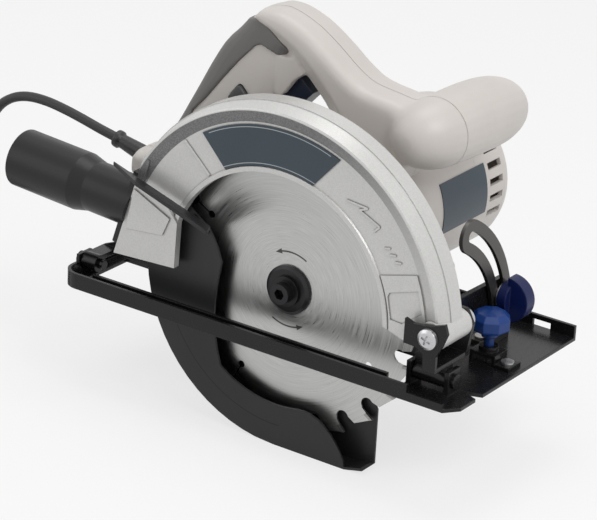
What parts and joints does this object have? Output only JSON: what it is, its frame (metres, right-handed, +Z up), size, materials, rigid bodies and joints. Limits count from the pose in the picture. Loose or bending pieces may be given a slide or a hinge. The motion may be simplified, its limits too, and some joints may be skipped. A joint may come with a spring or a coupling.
{
  "type": "hand-held circular saw",
  "caption": "Corded hand-held circular saw with sprung lower blade guard, tilting and depth-adjustable sole, dust port, loop handle with front grip and trigger.",
  "frame": {"origin": "on the underside of the sole, directly below the blade axis, at the sole's mid-width", "axes": "+X is the cutting direction, +Y points from the blade side to the motor side, +Z is up from the sole"},
  "size_m": [0.523, 0.254, 0.2541],
  "materials": {
    "black_steel": "gloss black paint on pressed steel",
    "gunmetal_steel": "dark zinc plating",
    "zinc_steel": "bright zinc plating",
    "ground_steel": "plain ground steel",
    "blade_steel": "circular grinding marks",
    "carbide": "dull grey sintered",
    "silver_casting": "silver metallic paint on cast alloy",
    "raw_casting": "as cast",
    "dark_guard": "dark grey satin paint",
    "cream_plastic": "fine satin texture",
    "grey_rubber": "soft matt overmould",
    "black_plastic": "fine satin texture",
    "dark_grey_plastic": "satin",
    "dark_navy_plastic": "smooth",
    "blue_plastic": "smooth moulded",
    "navy_plastic": "smooth moulded",
    "slate_label": "printed foil, left blank",
    "copper": "copper and brass, hidden inside",
    "black_rubber": "smooth extruded sheath"
  },
  "bodies": {
    "saw_body": {"guard_casting": "silver_casting", "guard_cover": "silver_casting", "cover_screws": "zinc_steel", "badge_plate": "slate_label", "dust_port": "black_plastic", "dust_port_screws": "black_steel", "depth_stud": "zinc_steel", "gear_case": "raw_casting", "spindle_front_bearing": "ground_steel", "spindle_rear_bearing": "ground_steel", "guard_retainer": "ground_steel", "guard_spring": "ground_steel", "motor_housing": "cream_plastic", "motor_end_cap": "cream_plastic", "stator_core": "ground_steel", "field_windings": "copper", "motor_front_bearing": "ground_steel", "motor_rear_bearing": "ground_steel", "brush_holders": "copper", "carbon_brushes": "carbide", "rating_plate": "slate_label", "handle_right": "cream_plastic", "handle_left": "cream_plastic", "grip_overmould": "grey_rubber", "handle_screws": "black_steel", "switch_unit": "black_plastic", "strain_relief": "black_rubber", "power_cord": "black_rubber", "cord_coil": "black_rubber", "cord_tie": "black_plastic", "mains_plug": "black_rubber"},
    "spindle": {"spindle": "ground_steel", "drive_gear": "ground_steel", "inner_flange": "ground_steel", "saw_blade": "blade_steel", "carbide_tips": "carbide", "outer_flange": "black_steel", "blade_bolt": "black_steel"},
    "armature": {"armature_shaft": "ground_steel", "armature_core": "ground_steel", "commutator": "copper", "cooling_fan": "black_plastic"},
    "lower_guard": {"lower_guard": "dark_guard", "guard_lever": "black_plastic"},
    "trigger": {"trigger": "dark_navy_plastic"},
    "lock_button": {"lock_button": "dark_grey_plastic"},
    "depth_lever": {"depth_lever": "black_plastic"},
    "cradle": {"front_bracket": "black_steel", "depth_arc": "black_steel", "bevel_bolt": "zinc_steel", "bevel_washer": "zinc_steel", "depth_pivot_screw": "zinc_steel"},
    "base": {"sole_plate": "black_steel", "bevel_quadrant": "gunmetal_steel", "quadrant_rivets": "zinc_steel", "fence_bridge": "black_steel", "front_hinge_pin": "zinc_steel", "rear_hinge_pin": "zinc_steel"},
    "bevel_knob": {"bevel_knob": "navy_plastic"},
    "fence_knob": {"fence_knob": "blue_plastic"}
  },
  "joints": [
    {"name": "spindle_spin", "type": "hinge", "parent": "saw_body", "child": "spindle", "pos_m": [0, -0.041, 0.031], "axis": [0, 1, 0], "continuous": true},
    {"name": "armature_spin", "type": "hinge", "parent": "saw_body", "child": "armature", "pos_m": [0.002, 0.03, 0.06394], "axis": [0, 1, 0], "continuous": true},
    {"name": "guard_swing", "type": "hinge", "parent": "saw_body", "child": "lower_guard", "pos_m": [0, -0.0367, 0.031], "axis": [0, 1, 0], "range_deg": [0, 95], "stiffness_Nm_per_rad": 0.25, "springref_deg": -68.75, "deforming": ["guard_spring"]},
    {"name": "trigger_pull", "type": "hinge", "parent": "saw_body", "child": "trigger", "pos_m": [-0.054, 0.014, 0.142], "axis": [0, 1, 0], "range_deg": [0, 8], "stiffness_Nm_per_rad": 2, "springref_deg": -8.02},
    {"name": "lock_press", "type": "slide", "parent": "saw_body", "child": "lock_button", "axis": [0, 1, 0], "range_m": [0, 0.003], "stiffness_N_per_m": 400, "springref_m": -0.004},
    {"name": "depth_clamp", "type": "hinge", "parent": "saw_body", "child": "depth_lever", "pos_m": [-0.07694, -0.026, 0.03503], "axis": [0, 1, 0], "range_deg": [0, 60]},
    {"name": "depth_pivot", "type": "hinge", "parent": "saw_body", "child": "cradle", "pos_m": [0.113, -0.041, 0.04], "axis": [0, -1, 0], "range_deg": [0, 24]},
    {"name": "bevel_tilt", "type": "hinge", "parent": "cradle", "child": "base", "pos_m": [0, -0.047, 0.01], "axis": [-1, 0, 0], "range_deg": [0, 45]},
    {"name": "bevel_knob_turn", "type": "hinge", "parent": "cradle", "child": "bevel_knob", "pos_m": [0.112, 0.03279, 0.03288], "axis": [1, 0, 0], "range_deg": [0, 270]},
    {"name": "fence_knob_turn", "type": "hinge", "parent": "base", "child": "fence_knob", "pos_m": [0.113, 0.0055, 0.02], "axis": [0, 0, 1], "range_deg": [0, 360]}
  ],
  "couplings": [
    {"joint": "armature_spin", "follows": "spindle_spin", "ratio": -4}
  ]
}
